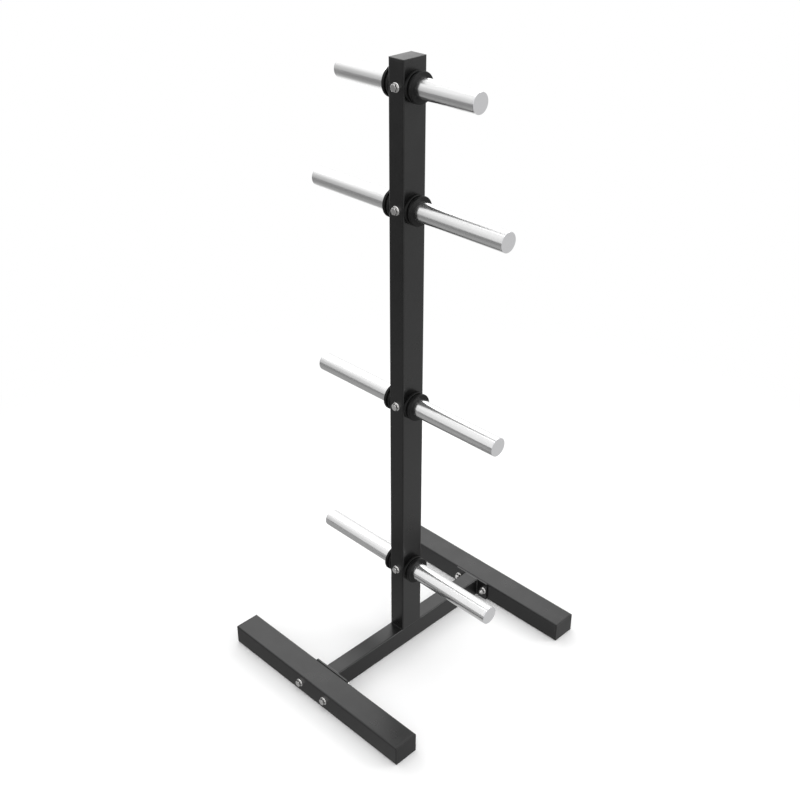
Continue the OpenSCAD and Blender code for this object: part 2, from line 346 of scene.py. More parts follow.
class Graph:
    """Adds nodes to one node tree and joins them."""

    def __init__(self, tree: Tree) -> None:
        """Keeps the tree that the nodes go in."""
        self.tree = tree

    def add(self, kind: str, inputs: Optional[dict] = None, **settings: object) -> Node:
        """Adds a node.

        Args:
            kind: the node's type name.
            inputs: what its inputs get, if anything.
            settings: its other properties.

        Returns:
            The node.
        """
        node = self.tree.nodes.new(kind)
        for name, value in settings.items():
            setattr(node, name, value)
        self.feed(node, inputs or {})
        return node

    def feed(self, node: Node, inputs: dict) -> None:
        """Sets a node's inputs to values, or joins sockets to them.

        Args:
            node: the node.
            inputs: the values or sockets, by name or number.
        """
        for key, value in inputs.items():
            if isinstance(value, Socket):
                self.tree.links.new(value, node.inputs[key])
            else:
                node.inputs[key].default_value = value

    def math(self, operation: str, *values: object, clamp: bool = False) -> Socket:
        """Adds a Math node and returns its result."""
        node = self.add("ShaderNodeMath", dict(enumerate(values)), operation=operation, use_clamp=clamp)
        return node.outputs[0]

    def vector(self, operation: str, *values: object) -> Socket:
        """Adds a Vector Math node and returns its vector."""
        return self.add("ShaderNodeVectorMath", dict(enumerate(values)), operation=operation).outputs[0]

    def measure(self, operation: str, *values: object) -> Socket:
        """Adds a Vector Math node and returns its number, such as a length or a dot product."""
        return self.add("ShaderNodeVectorMath", dict(enumerate(values)), operation=operation).outputs["Value"]

    def place(self) -> Socket:
        """Adds a Texture Coordinate node and returns the Object coordinates."""
        return self.add("ShaderNodeTexCoord").outputs["Object"]

    def noise(self, place: Socket, scale: float, detail: float = 3.0, roughness: float = 0.5) -> Socket:
        """Adds a Noise Texture and returns its value."""
        inputs = {"Vector": place, "Scale": scale, "Detail": detail, "Roughness": roughness}
        return self.add("ShaderNodeTexNoise", inputs).outputs["Fac"]

    def blend(self, factor: object, low: object, high: object) -> Socket:
        """Adds a Mix node and returns its colour, on output 2, mixed from the colours on inputs 6 and 7."""
        return self.add("ShaderNodeMix", {0: factor, 6: low, 7: high}, data_type="RGBA").outputs[2]

    def ramp(self, value: Socket, low: float, high: float, to_low: float = 0.0, to_high: float = 1.0) -> Socket:
        """Adds a smooth Map Range node and returns its result."""
        inputs = {"Value": value, "From Min": low, "From Max": high, "To Min": to_low, "To Max": to_high}
        return self.add("ShaderNodeMapRange", inputs, interpolation_type="SMOOTHSTEP").outputs["Result"]

    def bump(self, height: Socket, strength: float, distance: float) -> Socket:
        """Adds a Bump node and returns its normal."""
        inputs = {"Strength": strength, "Distance": distance, "Height": height}
        return self.add("ShaderNodeBump", inputs).outputs[0]


def grey(value: float, warm: float = 0.0) -> tuple[float, float, float, float]:
    """Returns a linear grey with a little warmth or cold."""
    return (value * (1 + warm), value, value * (1 - warm), 1.0)


def emptied(owner: Material | bpy.types.World) -> Graph:
    """Clears the nodes of a material or of the world.

    Args:
        owner: the material or the world.

    Returns:
        The graph of its nodes, now empty.
    """
    owner.use_nodes = True
    owner.node_tree.nodes.clear()
    return Graph(owner.node_tree)


class Effects:
    """Node groups that several finishes share, each built once."""

    MOTTLE_SHARE = 0.03
    CLOUD_SCALE = 22.0
    CLOUD_BAND = (0.48, 0.72)

    @staticmethod
    def _group(name: str, inputs: dict[str, str], outputs: Sequence[str]) -> Graph:
        """Makes an empty node group with its sockets.

        Args:
            name: the group's name.
            inputs: each input's name and its kind, Float or Vector.
            outputs: the outputs' names, all of them numbers.

        Returns:
            The graph of its nodes.
        """
        tree = bpy.data.node_groups.new(name, "ShaderNodeTree")
        for label, kind in inputs.items():
            tree.interface.new_socket(name=label, in_out="INPUT", socket_type=f"NodeSocket{kind}")
        for label in outputs:
            tree.interface.new_socket(name=label, in_out="OUTPUT", socket_type="NodeSocketFloat")
        return Graph(tree)

    @classmethod
    def grain(cls) -> Tree:
        """Builds the effect of a fine cast or sprayed surface.

        Returns:
            The group, which puts out a height and a slow mottle.
        """
        found = bpy.data.node_groups.get("surface_grain")
        if found:
            return found
        inputs = {"Coarse": "Float", "Fine": "Float", "Share": "Float"}
        graph = cls._group("surface_grain", inputs, ("Height", "Mottle"))
        ports = graph.add("NodeGroupInput").outputs
        place = graph.place()
        coarse = graph.noise(place, ports["Coarse"], detail=2.0)
        fine = graph.noise(place, ports["Fine"], detail=4.0)
        height = graph.math("ADD", coarse, graph.math("MULTIPLY", fine, ports["Share"]))
        slow = graph.math("MULTIPLY", ports["Coarse"], cls.MOTTLE_SHARE)
        mottle = graph.noise(place, slow, detail=5.0, roughness=0.6)
        graph.add("NodeGroupOutput", {"Height": height, "Mottle": mottle})
        return graph.tree

    @classmethod
    def box_edges(cls) -> Tree:
        """Builds the effect of a coat that rubs thin along the edges of a box, also used for a painted highlight
        along the crossbar's edges.

        Returns:
            The group, which puts out a mask of the edges.
        """
        found = bpy.data.node_groups.get("box_edges")
        if found:
            return found
        graph = cls._group("box_edges", {"Centre": "Vector", "Half": "Vector", "Width": "Float"}, ("Mask",))
        ports = graph.add("NodeGroupInput").outputs
        from_centre = graph.vector("ABSOLUTE", graph.vector("SUBTRACT", graph.place(), ports["Centre"]))
        past = graph.vector("SUBTRACT", from_centre, ports["Half"])
        parts = graph.add("ShaderNodeSeparateXYZ", {0: past}).outputs
        near = [graph.math("ADD", graph.math("DIVIDE", part, ports["Width"]), 1.0, clamp=True) for part in parts]
        pairs = [graph.math("MULTIPLY", near[a], near[b]) for a, b in ((0, 1), (1, 2), (0, 2))]
        most = graph.math("MAXIMUM", graph.math("MAXIMUM", pairs[0], pairs[1]), pairs[2])
        graph.add("NodeGroupOutput", {"Mask": most})
        return graph.tree

    @classmethod
    def smudges(cls) -> Tree:
        """Builds the effect of faint wiping marks and fingerprints on bright metal.

        Returns:
            The group, which puts out a mask of the smudges and the drawing lines.
        """
        found = bpy.data.node_groups.get("smudges")
        if found:
            return found
        graph = cls._group("smudges", {"Stretch": "Vector", "Scale": "Float"}, ("Mask", "Lines"))
        ports = graph.add("NodeGroupInput").outputs
        place = graph.place()
        lines = graph.noise(graph.vector("MULTIPLY", place, ports["Stretch"]), ports["Scale"], detail=2.0)
        clouds = graph.noise(place, cls.CLOUD_SCALE, detail=4.0, roughness=0.62)
        graph.add("NodeGroupOutput", {"Mask": graph.ramp(clouds, *cls.CLOUD_BAND), "Lines": lines})
        return graph.tree


@dataclass(frozen=True)
class Finish:
    """A finish for one kind of surface: a grey, its warmth, its roughness and its gloss."""

    METALLIC: ClassVar[float] = 0.0
    name: str
    slot: str
    colour: float
    warm: float
    rough: float
    gloss: float

    def material(self) -> Material:
        """Makes the finish's material the first time it is asked for.

        Returns:
            The material.
        """
        found = bpy.data.materials.get(self.name)
        if found:
            return found
        made = bpy.data.materials.new(self.name)
        graph = emptied(made)
        plain = {"Base Color": self.shade(), "Roughness": self.rough, "Specular IOR Level": self.gloss}
        shader = graph.add("ShaderNodeBsdfPrincipled", {**plain, "Metallic": self.METALLIC})
        graph.feed(shader, self.detail(graph))
        graph.add("ShaderNodeOutputMaterial", {"Surface": shader.outputs[0]})
        return made

    def shade(self, share: float = 1.0) -> tuple[float, float, float, float]:
        """Returns the finish's colour, darker or lighter by a share."""
        return grey(self.colour * share, self.warm)

    def detail(self, graph: Graph) -> dict[str, Socket]:
        """Returns what changes over the surface, by the shader's input: nothing on a plain finish."""
        return {}


@dataclass(frozen=True)
class Moulded(Finish):
    """Rubber or plastic with a faint mould texture and a slight bloom."""

    coarse: float = 1400.0
    fine: float = 5000.0
    fine_share: float = 0.6
    depth: float = 0.04 * MM
    relief: float = 0.3
    mottle: float = 0.3
    rough_band: Point = (0.3, 0.7)
    rough_swing: float = 0.05

    def detail(self, graph: Graph) -> dict[str, Socket]:
        """Paints the grain and the mottle.

        Args:
            graph: the graph of the material's nodes.

        Returns:
            The shader's colour, roughness and normal.
        """
        inputs = {"Coarse": self.coarse, "Fine": self.fine, "Share": self.fine_share}
        grain = graph.add("ShaderNodeGroup", inputs, node_tree=Effects.grain()).outputs
        base = graph.blend(grain["Mottle"], self.shade(1 - self.mottle), self.shade(1 + self.mottle))
        smooth, rough = self.rough - self.rough_swing, self.rough + self.rough_swing
        rough = graph.ramp(grain["Mottle"], *self.rough_band, smooth, rough)
        normal = graph.bump(grain["Height"], self.relief, self.depth)
        return {"Base Color": self.worn(graph, base, grain["Mottle"]), "Roughness": rough, "Normal": normal}

    def worn(self, graph: Graph, colour: Socket, mottle: Socket) -> Socket:
        """Returns the colour as it is, because a moulded piece shows no wear."""
        return colour


@dataclass(frozen=True)
class Coated(Moulded):
    """Powder coat or moulded plastic on a box-shaped piece, a little lighter along its edges from wear; a larger
    edge amount paints a highlight there.
    """

    room: Room = field(kw_only=True)
    coarse: float = 900.0
    fine: float = 3200.0
    fine_share: float = 0.4
    depth: float = 0.05 * MM
    relief: float = 0.22
    mottle: float = 0.25
    rough_swing: float = 0.03
    # How much lighter the edges are: the default is wear, larger amounts are a painted highlight.
    edge: float = 0.01
    edge_width: float = 3.0 * MM
    edge_band: Point = (0.25, 0.95)
    patch_band: Point = (0.30, 0.60)

    def worn(self, graph: Graph, colour: Socket, mottle: Socket) -> Socket:
        """Lightens the coat along the piece's edges, in patches: a rubbed-thin coat, and where the edge amount is
        large, as on the crossbar, a painted highlight.

        Args:
            graph: the graph of the material's nodes.
            colour: the coat's colour.
            mottle: the slow mottle that makes the patches.

        Returns:
            The colour with the wear.
        """
        inputs = {"Centre": self.room.centre, "Half": self.room.half, "Width": self.edge_width}
        edges = graph.add("ShaderNodeGroup", inputs, node_tree=Effects.box_edges()).outputs[0]
        patches = graph.ramp(mottle, *self.patch_band)
        # Where the edges lighten: wear, and on the crossbar a painted highlight.
        rubbed_and_highlit = graph.math("MULTIPLY", graph.ramp(edges, *self.edge_band), patches)
        return graph.blend(rubbed_and_highlit, colour, grey(self.colour + self.edge, self.warm))


@dataclass(frozen=True)
class Plated(Finish):
    """Bright metal with faint drawing lines and smudges."""

    METALLIC: ClassVar[float] = 1.0
    stretch: Corner = (1.0, 1.0, 1.0)
    line_scale: float = 900.0
    line_depth: float = 0.004 * MM
    line_relief: float = 0.3
    smudge: float = 0.05
    dulled: float = 0.96

    def detail(self, graph: Graph) -> dict[str, Socket]:
        """Paints the lines and the smudges.

        Args:
            graph: the graph of the material's nodes.

        Returns:
            The shader's colour, roughness and normal.
        """
        inputs = {"Stretch": self.stretch, "Scale": self.line_scale}
        marks = graph.add("ShaderNodeGroup", inputs, node_tree=Effects.smudges()).outputs
        worn = graph.math("MULTIPLY", marks["Lines"], self.smudge)
        spots = graph.math("MULTIPLY", marks["Mask"], self.smudge)
        rough = graph.math("ADD", graph.math("ADD", worn, spots), self.rough)
        colour = graph.blend(marks["Mask"], self.shade(), self.shade(self.dulled))
        normal = graph.bump(marks["Lines"], self.line_relief, self.line_depth)
        return {"Base Color": colour, "Roughness": rough, "Normal": normal}


def powder_coat(node: str, edge: float = 0.01) -> Coated:
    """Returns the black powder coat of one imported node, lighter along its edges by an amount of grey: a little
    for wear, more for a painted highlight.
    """
    return Coated(f"powder_coat_{node}", "powder_coat", 0.0045, 0.0, 0.30, 0.50, room=Room.of(node), edge=edge)


def cap_plastic(node: str) -> Coated:
    """Returns the moulded plastic of one packed cap."""
    plastic = (f"cap_plastic_{node}", "cap_plastic", 0.005, 0.0, 0.42, 0.45)
    return Coated(*plastic, room=Room.of(node), coarse=1500.0, fine=4200.0, edge_width=1.5 * MM)


CHROME = Plated("bright_chrome", "peg_chrome", 0.86, 0.0, 0.19, 0.5, stretch=(0.02, 1.0, 1.0))
PLUG_CHROME = Plated("plug_chrome", "plug_chrome", 0.82, 0.01, 0.20, 0.5, line_scale=1600.0)
ZINC = Plated("zinc_plate", "zinc_steel", 0.80, 0.01, 0.07, 0.5, line_scale=2400.0)
RUBBER = Moulded("black_rubber", "collar_rubber", 0.004, 0.0, 0.50, 0.22)
NYLON = Moulded("nut_insert_nylon", "cap_plastic", 0.30, 0.02, 0.45, 0.5)
LEVELS = ("top", "upper", "lower", "bottom")


def dress_node(node: str, finish: Finish) -> None:
    """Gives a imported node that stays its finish.

    Args:
        node: the node's name.
        finish: the finish that covers it.
    """
    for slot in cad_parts[node].material_slots:
        slot.material = finish.material()
    LOG.info("%s: packed shape, %s", node, finish.name)


@dataclass(frozen=True)
class Weld:
    """A rippled weld bead along an inside corner. Ripples and swells are shares of its radius."""

    radius: float
    sides: int = 20
    ripple_share: float = 1.6
    ripple_rings: int = 6
    fewest_rings: int = 8
    valley: float = 0.86
    crest: float = 0.14
    wander: float = 0.05
    wander_scale: float = 300.0
    blunt_end: float = 0.45
    sharp_angle: float = 50.0

    def lay(self, start: Vector, stop: Vector) -> Thing:
        """Models the bead.

        Args:
            start: one end of the corner line.
            stop: the other end.

        Returns:
            The bead, a closed round rod with ripples, sunk into both faces.
        """
        ripple = self.ripple_share * self.radius
        length = (stop - start).length
        Bench.clear()
        bpy.ops.mesh.primitive_cylinder_add(vertices=self.sides, radius=self.radius, depth=length)
        bead = bpy.context.object
        Bench.pick(bead, "EDGE", lambda edge: abs(edge.verts[0].co.z - edge.verts[1].co.z) > length / 2)
        rings = max(self.fewest_rings, round(length / ripple) * self.ripple_rings)
        bpy.ops.mesh.subdivide(number_cuts=rings)
        bpy.ops.object.mode_set(mode="OBJECT")
        for vert in bead.data.vertices:
            spot = vert.co
            wave = abs(math.sin(math.pi * (spot.z / ripple)))
            wander = noise.noise(spot * self.wander_scale)
            end = min(1.0, (length / 2 - abs(spot.z)) / ripple + self.blunt_end)
            swell = (self.valley + self.crest * wave + self.wander * wander) * math.sqrt(end)
            spot.x *= swell
            spot.y *= swell
        Bench.smooth(bead, self.sharp_angle)
        Bench.place(bead, Matrix.Translation((start + stop) / 2) @ turn_to(stop - start))
        return bead


@dataclass
class Base:
    """The H-shaped base: crossbar, end plates, feet, foot caps and welds."""

    weld_r: float = 0.7 * MM
    # How much lighter the crossbar's edges are: a painted highlight along its rounded edges, on top of slight
    # wear.
    edge_wear_and_highlight: float = 0.06

    def dress(self) -> None:
        """Gives the tubes, plates and caps their finishes."""
        # The crossbar's coat gets a stronger edge lightening, a painted highlight along its rounded edges.
        dress_node("crossbar_tube", powder_coat("crossbar_tube", self.edge_wear_and_highlight))
        for end in ("front", "rear"):
            for node in (f"{end}_end_plate", f"{end}_foot_tube"):
                dress_node(node, powder_coat(node))
            for node in (f"{end}_foot_left_cap", f"{end}_foot_right_cap"):
                dress_node(node, cap_plastic(node))

    def build(self) -> None:
        """Lays the weld beads between the crossbar and its end plates."""
        bar = Room.of("crossbar_tube")
        plate_top = Room.of("front_end_plate").high.z
        for end, end_y in (("front", bar.low.y), ("rear", bar.high.y)):
            for side, x in (("left", bar.low.x), ("right", bar.high.x)):
                start = Vector((x, end_y, bar.low.z + 2 * self.weld_r))
                stop = Vector((x, end_y, plate_top - 2 * self.weld_r))
                bead = Weld(self.weld_r).lay(start, stop)
                Bench.hand_over(bead, f"{end}_{side}_plate_weld", powder_coat("crossbar_tube"))


@dataclass
class Upright:
    """The upright tube, its cap and the welds at its foot."""

    weld_r: float = 0.5 * MM

    def dress(self) -> None:
        """Gives the tube and its cap their finishes."""
        dress_node("upright_tube", powder_coat("upright_tube"))
        dress_node("upright_cap", cap_plastic("upright_cap"))

    def build(self) -> None:
        """Lays the weld beads in front of and behind the upright's foot."""
        tube = Room.of("upright_tube")
        for side, y in (("front", tube.low.y), ("rear", tube.high.y)):
            start = Vector((tube.low.x + self.weld_r, y, tube.low.z))
            stop = Vector((tube.high.x - self.weld_r, y, tube.low.z))
            bead = Weld(self.weld_r).lay(start, stop)
            Bench.hand_over(bead, f"{side}_upright_weld", powder_coat("upright_tube"))


@dataclass
class PegLevel:
    """One level: a chrome peg tube with two end plugs and two spool collars."""

    level: str
    wall: float = 2.0 * MM
    seat: float = 0.4 * MM
    tube_edge: float = 0.1 * MM
    tube_steps: int = 128
    cross_hole_r: float = 3.2 * MM
    drill_steps: int = 48
    skirt_wall: float = 1.6 * MM
    skirt_round: Corner = (0.4 * MM, 0.3 * MM, 0.5 * MM)
    plug_gap: float = 0.15 * MM
    plug_disc: float = 2.0 * MM
    rim_back: float = 0.15 * MM
    rim: float = 0.5 * MM
    collar_gap: float = 0.1 * MM
    collar_bore_round: float = 0.2 * MM
    flange: float = 5.0 * MM
    flange_round: float = 1.2 * MM
    waist_r: float = 19.0 * MM
    waist_round: float = 0.5 * MM
    peg: Room = field(init=False)
    collar: Room = field(init=False)

    def __post_init__(self) -> None:
        """Reads the level's places from the frame."""
        self.peg = Room.of(f"{self.level}_peg")
        self.collar = Room.of(f"{self.level}_right_collar")

    def build(self) -> None:
        """Models the level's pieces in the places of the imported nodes."""
        Bench.hand_over(self.make_tube(), f"{self.level}_peg_tube", CHROME, f"{self.level}_peg")
        plug = self.make_plug()
        collar = self.make_collar()
        for side, axis in (("left", Axis.LEFT), ("right", Axis.RIGHT)):
            self.seat_piece(plug, axis, self.peg.half.x, f"{self.level}_{side}_plug", PLUG_CHROME)
            self.seat_piece(collar, axis, self.collar.low.x, f"{self.level}_{side}_collar", RUBBER)
        Bench.drop(plug, collar)

    def seat_piece(self, master: Thing, axis: Axis, reach: float, node: str, finish: Finish) -> None:
        """Puts a copy of a turned piece on the peg's axis.

        Args:
            master: the piece to copy, standing on Z = 0 along Z.
            axis: where it points.
            reach: how far from the upright's centre its foot is.
            node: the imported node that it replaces.
            finish: its finish.
        """
        piece = Bench.copy(master, node)
        place = Vector(axis.value) * reach + Vector((0, 0, self.peg.centre.z))
        Bench.place(piece, Matrix.Translation(place) @ turn_to(axis.value))
        Bench.hand_over(piece, f"{node}_piece", finish, node)

    def make_tube(self) -> Thing:
        """Models the peg tube, with its collar seats and the cross bolt's hole.

        Returns:
            The tube, in its place.
        """
        outer, end = self.peg.half.z, self.peg.half.x
        seat_r = outer - self.seat
        right = [
            (outer, self.collar.low.x, 0.0),
            (seat_r, self.collar.low.x, 0.0),
            (seat_r, self.collar.high.x, 0.0),
            (outer, self.collar.high.x, self.tube_edge),
            (outer, end, self.tube_edge),
            (outer - self.wall, end, 0.0),
        ]
        left = [(radius, -height, rounding) for radius, height, rounding in reversed(right)]
        tube = lathe("peg_tube", left + right, self.tube_steps)
        Bench.place(tube, turn_to(Axis.RIGHT.value))
        Bench.clear()
        bpy.ops.mesh.primitive_cylinder_add(vertices=self.drill_steps, radius=self.cross_hole_r, depth=4 * outer)
        drill = bpy.context.object
        Bench.place(drill, turn_to(Axis.REAR.value))
        Bench.cut(tube, "DIFFERENCE", drill)
        Bench.smooth(tube)
        Bench.place(tube, Matrix.Translation((0, 0, self.peg.centre.z)))
        return tube

    def make_plug(self) -> Thing:
        """Models an end plug.

        Returns:
            The plug, its disc above Z = 0 and its skirt below.
        """
        outer = self.peg.half.z
        skirt_r = outer - self.wall - self.plug_gap
        bore_r = skirt_r - self.skirt_wall
        skirt_l = 2 * Room.of(f"{self.level}_right_plug").half.x - self.plug_disc
        root, inside, outside = self.skirt_round
        corners = [
            (0.0, 0.0, 0.0),
            (bore_r, 0.0, root),
            (bore_r, -skirt_l, inside),
            (skirt_r, -skirt_l, outside),
            (skirt_r, 0.0, 0.0),
            (outer, 0.0, self.rim_back),
            (outer, self.plug_disc, self.rim),
            (0.0, self.plug_disc, 0.0),
        ]
        plug = lathe("end_plug", corners, closed=False)
        Bench.smooth(plug)
        return plug

    def make_collar(self) -> Thing:
        """Models a spool collar, with rounded flanges and a waist.

        Returns:
            The collar, standing on Z = 0.
        """
        rim_r, length = self.collar.half.z, 2 * self.collar.half.x
        bore_r = self.peg.half.z - self.seat + self.collar_gap
        near, far = self.flange, length - self.flange
        corners = [
            (bore_r, 0.0, self.collar_bore_round),
            (rim_r, 0.0, self.flange_round),
            (rim_r, near, self.flange_round),
            (self.waist_r, near, self.waist_round),
            (self.waist_r, far, self.waist_round),
            (rim_r, far, self.flange_round),
            (rim_r, length, self.flange_round),
            (bore_r, length, self.collar_bore_round),
        ]
        collar = lathe("spool_collar", corners)
        Bench.smooth(collar)
        return collar


@dataclass
class Hardware:
    """Bolts, lock nuts and washers, modelled once and copied to their places.

    The bolt's point has sizes as shares of the thread's depth. NEAR and ON_SHANK say how far off a point of
    the mesh may lie to count as on the thread.
    """

    NEAR: ClassVar[float] = 1e-6
    ON_SHANK: ClassVar[float] = 1e-5
    flats: float = 10.0 * MM
    blank_share: float = 1.04
    chamfer: float = math.radians(30)
    chamfer_flat: float = 0.94
    sharp_angle: float = 32.0
    head: float = 4.2 * MM
    head_round: float = 0.15 * MM
    face: float = 0.3 * MM
    face_share: float = 0.47
    shank_r: float = 3.0 * MM
    bolt_steps: int = 48
    pitch: float = 1.0 * MM
    spare_turns: int = 8
    turn_steps: int = 8
    thread_depth: float = 0.5 * MM
    fade_turns: int = 2
    point_length: float = 1.4
    point_taper: float = 1.3
    nut: float = 6.0 * MM
    nut_gap: float = 0.05 * MM
    nut_steps: int = 64
    crown: float = 1.4 * MM
    crown_r: float = 4.2 * MM
    crown_round: Corner = (0.2 * MM, 0.38 * MM, 0.08 * MM)
    insert: float = 0.55 * MM
    insert_gap: float = 0.01 * MM
    insert_sunk: float = 0.3 * MM
    insert_round: Point = (0.1 * MM, 0.2 * MM)
    washer: float = 1.4 * MM
    washer_r: float = 7.0 * MM
    washer_hole_r: float = 3.2 * MM
    washer_round: tuple[float, float, float, float] = (0.05 * MM, 0.15 * MM, 0.8 * MM, 0.2 * MM)

    @property
    def corner_r(self) -> float:
        """The radius over the corners of a head or nut."""
        return self.flats / math.sqrt(3)

    @property
    def blank_r(self) -> float:
        """The radius of a turned blank, which the hexagon cuts all round."""
        return self.corner_r * self.blank_share

    @property
    def flat_r(self) -> float:
        """The radius at which the chamfer starts."""
        return self.flats * self.chamfer_flat / 2

    @property
    def chamfer_drop(self) -> float:
        """How far the chamfer drops to the blank's radius."""
        return (self.blank_r - self.flat_r) * math.tan(self.chamfer)

    def cut_hexagon(self, blank: Thing, low: float, high: float) -> None:
        """Cuts a turned blank to a hexagon.

        Args:
            blank: the blank.
            low: a height below it.
            high: a height above it.
        """
        Bench.clear()
        middle = (0, 0, (low + high) / 2)
        bpy.ops.mesh.primitive_cylinder_add(vertices=6, radius=self.corner_r, depth=high - low, location=middle)
        prism = bpy.context.object
        Bench.place(prism, Matrix.Rotation(math.pi / 6, 4, "Z"))
        Bench.cut(blank, "INTERSECT", prism)

    def make_bolt(self, shank: float) -> Thing:
        """Models a hex bolt with its head below Z = 0 and a threaded end above.

        Args:
            shank: the length under the head.

        Returns:
            The bolt.
        """
        face_r = self.flats * self.face_share
        start = shank - self.nut - self.spare_turns * self.pitch
        stop = shank - self.thread_depth * self.point_length
        steps = round((stop - start) / self.pitch * self.turn_steps)
        corners: list[Corner] = [
            (0.0, -self.head, 0.0),
            (self.flat_r, -self.head, self.head_round),
            (self.blank_r, -self.head + self.chamfer_drop, 0.0),
            (self.blank_r, -self.face, 0.0),
            (face_r, -self.face, 0.0),
            (face_r, 0.0, 0.0),
            (self.shank_r, 0.0, 0.0),
            *((self.shank_r, start + (stop - start) * step / steps, 0.0) for step in range(steps + 1)),
            (self.shank_r - self.thread_depth * self.point_taper, shank, 0.0),
            (0.0, shank, 0.0),
        ]
        bolt = lathe("hex_bolt", corners, self.bolt_steps, closed=False)
        self.cut_hexagon(bolt, -self.head - MM, shank + MM)
        self.cut_thread(bolt, start, stop)
        Bench.smooth(bolt, self.sharp_angle)
        return bolt

    def cut_thread(self, bolt: Thing, start: float, stop: float) -> None:
        """Sinks a thread into a shank, less deep over its first turns.

        Args:
            bolt: the bolt.
            start: the height at which the thread starts.
            stop: the height at which it ends.
        """
        for vert in bolt.data.vertices:
            spot = vert.co
            radius = math.hypot(spot.x, spot.y)
            if start - self.NEAR <= spot.z <= stop + self.NEAR and abs(radius - self.shank_r) < self.ON_SHANK:
                phase = (spot.z / self.pitch - math.atan2(spot.y, spot.x) / (2 * math.pi)) % 1.0
                depth = 1 - abs(2 * phase - 1)
                fade = min(1.0, (spot.z - start) / (self.fade_turns * self.pitch))
                share = 1 - self.thread_depth * depth * fade / radius
                spot.x *= share
                spot.y *= share

    def make_nut(self) -> Thing:
        """Models a lock nut with a round crown on its far side.

        Returns:
            The nut, standing on Z = 0.
        """
        hex_t = self.nut - self.crown
        bore = self.shank_r + self.nut_gap
        root, outside, inside = self.crown_round
        corners = [
            (bore, 0.0, 0.0),
            (self.flat_r, 0.0, 0.0),
            (self.blank_r, self.chamfer_drop, 0.0),
            (self.blank_r, hex_t - self.chamfer_drop, 0.0),
            (self.flat_r, hex_t, 0.0),
            (self.crown_r, hex_t, root),
            (self.crown_r, self.nut, outside),
            (bore + self.insert, self.nut, inside),
            (bore + self.insert, hex_t, 0.0),
            (bore, hex_t, 0.0),
        ]
        nut = lathe("lock_nut", corners, self.nut_steps)
        self.cut_hexagon(nut, -MM, self.nut + MM)
        Bench.smooth(nut, self.sharp_angle)
        return nut

    def make_insert(self) -> Thing:
        """Models the nylon ring in a lock nut's crown.

        Returns:
            The ring, at its height in the nut.
        """
        low, high = self.nut - self.crown, self.nut - self.insert_sunk
        bore = self.shank_r + self.nut_gap
        rim = bore + self.insert - self.insert_gap
        outside, inside = self.insert_round
        corners = [(bore, low, 0.0), (rim, low, 0.0), (rim, high, outside), (bore, high, inside)]
        ring = lathe("nut_insert", corners, self.bolt_steps)
        Bench.smooth(ring)
        return ring

    def make_washer(self) -> Thing:
        """Models a stamped washer, its upper rim rounded.

        Returns:
            The washer, standing on Z = 0.
        """
        hole, rim, top = self.washer_hole_r, self.washer_r, self.washer
        places = ((hole, 0.0), (rim, 0.0), (rim, top), (hole, top))
        corners = [(*place, rounding) for place, rounding in zip(places, self.washer_round)]
        washer = lathe("washer", corners, self.nut_steps)
        Bench.smooth(washer)
        return washer

    def build(self) -> None:
        """Fits the fasteners of the pegs and of the feet."""
        masters = {"nut": self.make_nut(), "insert": self.make_insert(), "washers": self.make_washer()}
        upright = Room.of("upright_tube")
        for level in LEVELS:
            places = [(0.0, Room.of(f"{level}_peg").centre.z)]
            self.fit(f"{level}_peg", Axis.REAR, places, upright.low.y, upright.high.y, masters)
        for end, axis in (("front", Axis.REAR), ("rear", Axis.FRONT)):
            foot, plate, nuts = (Room.of(f"{end}_{part}") for part in ("foot_tube", "end_plate", "foot_nuts"))
            spacing = nuts.half.x - self.corner_r
            places = [(-spacing, nuts.centre.z), (spacing, nuts.centre.z)]
            outer, inner = (foot.low.y, plate.high.y) if end == "front" else (foot.high.y, plate.low.y)
            self.fit(f"{end}_foot", axis, places, outer, inner, masters)
        Bench.drop(*masters.values())

    def fit(
        self, stem: str, axis: Axis, places: Sequence[Point], outer: float, inner: float, masters: dict[str, Thing]
    ) -> None:
        """Fits one set of fasteners through one stack.

        Args:
            stem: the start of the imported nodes' names.
            axis: where the bolts point.
            places: each bolt's X and Z.
            outer: the Y of the face under the heads.
            inner: the Y of the face under the nuts.
            masters: the lock nut, the nylon ring and the washer to copy.
        """
        plural = "s" if len(places) > 1 else ""
        nodes = {"bolt": f"{stem}_bolt{plural}", "nut": f"{stem}_nut{plural}", "washers": f"{stem}_washers"}
        grip = abs(inner - outer)
        bolt = self.make_bolt(2 * Room.of(nodes["bolt"]).half.y - self.head)
        under_nut = Matrix.Translation((0, 0, grip + self.washer))
        stack = (
            ("bolt", bolt, Matrix.Translation((0, 0, -self.washer))),
            ("nut", masters["nut"], under_nut),
            ("insert", masters["insert"], under_nut),
            ("washers", masters["washers"], Matrix.Translation((0, 0, grip))),
            ("washers", masters["washers"], Matrix.Rotation(math.pi, 4, "X")),
        )
        sets: dict[str, list[Thing]] = {kind: [] for kind, _, _ in stack}
        for x, z in places:
            at_outer = Matrix.Translation((x, outer, z)) @ turn_to(axis.value)
            for kind, master, shift in stack:
                piece = Bench.copy(master, kind)
                Bench.place(piece, at_outer @ shift)
                sets[kind].append(piece)
        for kind, pieces in sets.items():
            whole = Bench.join(*pieces)
            if kind == "insert":
                Bench.hand_over(whole, f"{stem}_nut_insert{plural}", NYLON)
            else:
                Bench.hand_over(whole, f"{nodes[kind]}_piece", ZINC, nodes[kind])
        Bench.drop(bolt)


@dataclass(frozen=True)
class Lamp:
    """A soft lamp. At level 1 it looks as bright as the white background."""

    name: str
    place: Corner
    aim: Corner
    size: Point
    level: float

    def hang(self) -> None:
        """Adds the lamp to the scene."""
        light = bpy.data.lights.new(self.name, "AREA")
        light.shape = "RECTANGLE"
        light.size, light.size_y = self.size
        light.energy = self.level * math.pi * self.size[0] * self.size[1]
        lamp = bpy.data.objects.new(self.name, light)
        bpy.context.scene.collection.objects.link(lamp)
        lamp.rotation_euler = (Vector(self.place) - Vector(self.aim)).to_track_quat("Z", "Y").to_euler()
        lamp.location = self.place


